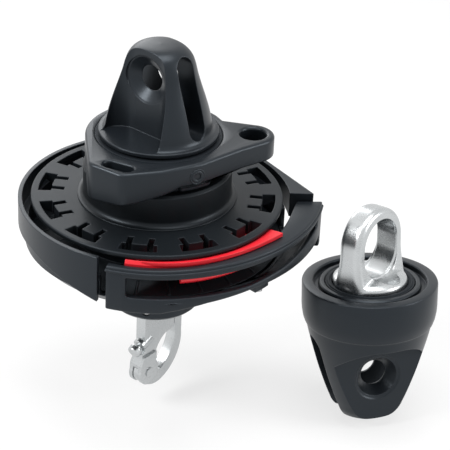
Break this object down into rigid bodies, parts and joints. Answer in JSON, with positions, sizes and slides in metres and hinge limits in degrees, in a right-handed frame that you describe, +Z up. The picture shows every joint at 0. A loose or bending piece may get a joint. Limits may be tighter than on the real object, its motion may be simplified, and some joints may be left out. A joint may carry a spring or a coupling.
{
  "type": "spinnaker furler",
  "caption": "Spinnaker furler: an endless-line drive unit with a torsion fork, tack swivel and snap shackle, and its separate head swivel.",
  "frame": {"origin": "seat of the snap shackle: on the spin axis, level with the lowest point inside the shackle's gate", "axes": "+Z up the drive unit's spin axis, towards the torsion fork; +X towards the head swivel, which stands beside it; the line guide faces -Y"},
  "size_m": [0.2052, 0.1315, 0.1943],
  "materials": {
    "black_anodised": "hard black anodised, satin",
    "black_hub": "black anodised, satin",
    "black_sheave": "black anodised, matt",
    "black_composite": "moulded, fine grain",
    "red_plastic": "moulded, semi-matt",
    "polished_steel": "polished stainless steel",
    "steel": "ground stainless steel",
    "seal_rubber": "matt",
    "bearing_plastic": "smooth"
  },
  "bodies": {
    "root": {"spindle": "steel", "spindle_pin": "steel", "spindle_nut": "steel", "upper_thrust_washer": "steel", "lower_bearing_inner_race": "steel", "cage_base": "black_anodised", "lower_housing": "black_anodised", "housing_lock_screw": "steel", "shackle_lock_tab": "black_composite", "cage_screws": "steel", "glide_ring": "bearing_plastic", "line_guide": "black_composite", "guide_screws": "steel", "line_stripper": "red_plastic", "stripper_screw": "steel", "shackle_body": "polished_steel", "shackle_rivet": "polished_steel", "plunger_plug": "polished_steel", "plunger_spring": "steel", "swivel_fork": "black_anodised", "swivel_cap": "black_anodised", "swivel_seal": "seal_rubber", "swivel_upper_washer": "steel"},
    "drum": {"lower_thrust_washer": "steel", "thrust_balls": "steel", "thrust_ball_cage": "bearing_plastic", "lower_bearing_outer_race": "steel", "lower_bearing_balls": "steel", "sheave_upper": "black_sheave", "sheave_lower": "black_sheave", "drum_hub": "black_hub", "sheave_screws": "steel", "torsion_fork": "black_anodised", "fork_bolts": "steel"},
    "tack": {"tack_plate": "black_anodised", "tack_race": "steel", "tack_balls": "steel", "tack_seal": "seal_rubber", "tack_bush": "bearing_plastic"},
    "gate": {"shackle_gate": "polished_steel"},
    "plunger": {"shackle_plunger": "polished_steel", "plunger_knob": "polished_steel"},
    "swivel": {"swivel_eye": "polished_steel", "swivel_lower_washer": "steel", "swivel_balls": "steel", "swivel_nut": "steel"}
  },
  "joints": [
    {"name": "drum_spin", "type": "hinge", "parent": "root", "child": "drum", "pos_m": [0, 0, 0.1], "axis": [0, 0, 1], "continuous": true},
    {"name": "tack_swivel", "type": "hinge", "parent": "root", "child": "tack", "pos_m": [0, 0, 0.126], "axis": [0, 0, 1], "continuous": true},
    {"name": "head_swivel_spin", "type": "hinge", "parent": "root", "child": "swivel", "pos_m": [0.10535, 0, 0.05628], "axis": [-0.0407, 0.1195, 0.992], "continuous": true},
    {"name": "gate_hinge", "type": "hinge", "parent": "root", "child": "gate", "pos_m": [-0.00437, -0.00521, 0.0036], "axis": [-0.766, 0.6428, 0], "range_deg": [0, 70]},
    {"name": "plunger_slide", "type": "slide", "parent": "root", "child": "plunger", "axis": [0.5872, 0.6998, 0.4067], "range_m": [-0.0052, 0], "deforming": ["plunger_spring"]}
  ],
  "couplings": [
    {"joint": "plunger_slide", "follows": "gate_hinge", "m_per_rad": -0.004093}
  ]
}
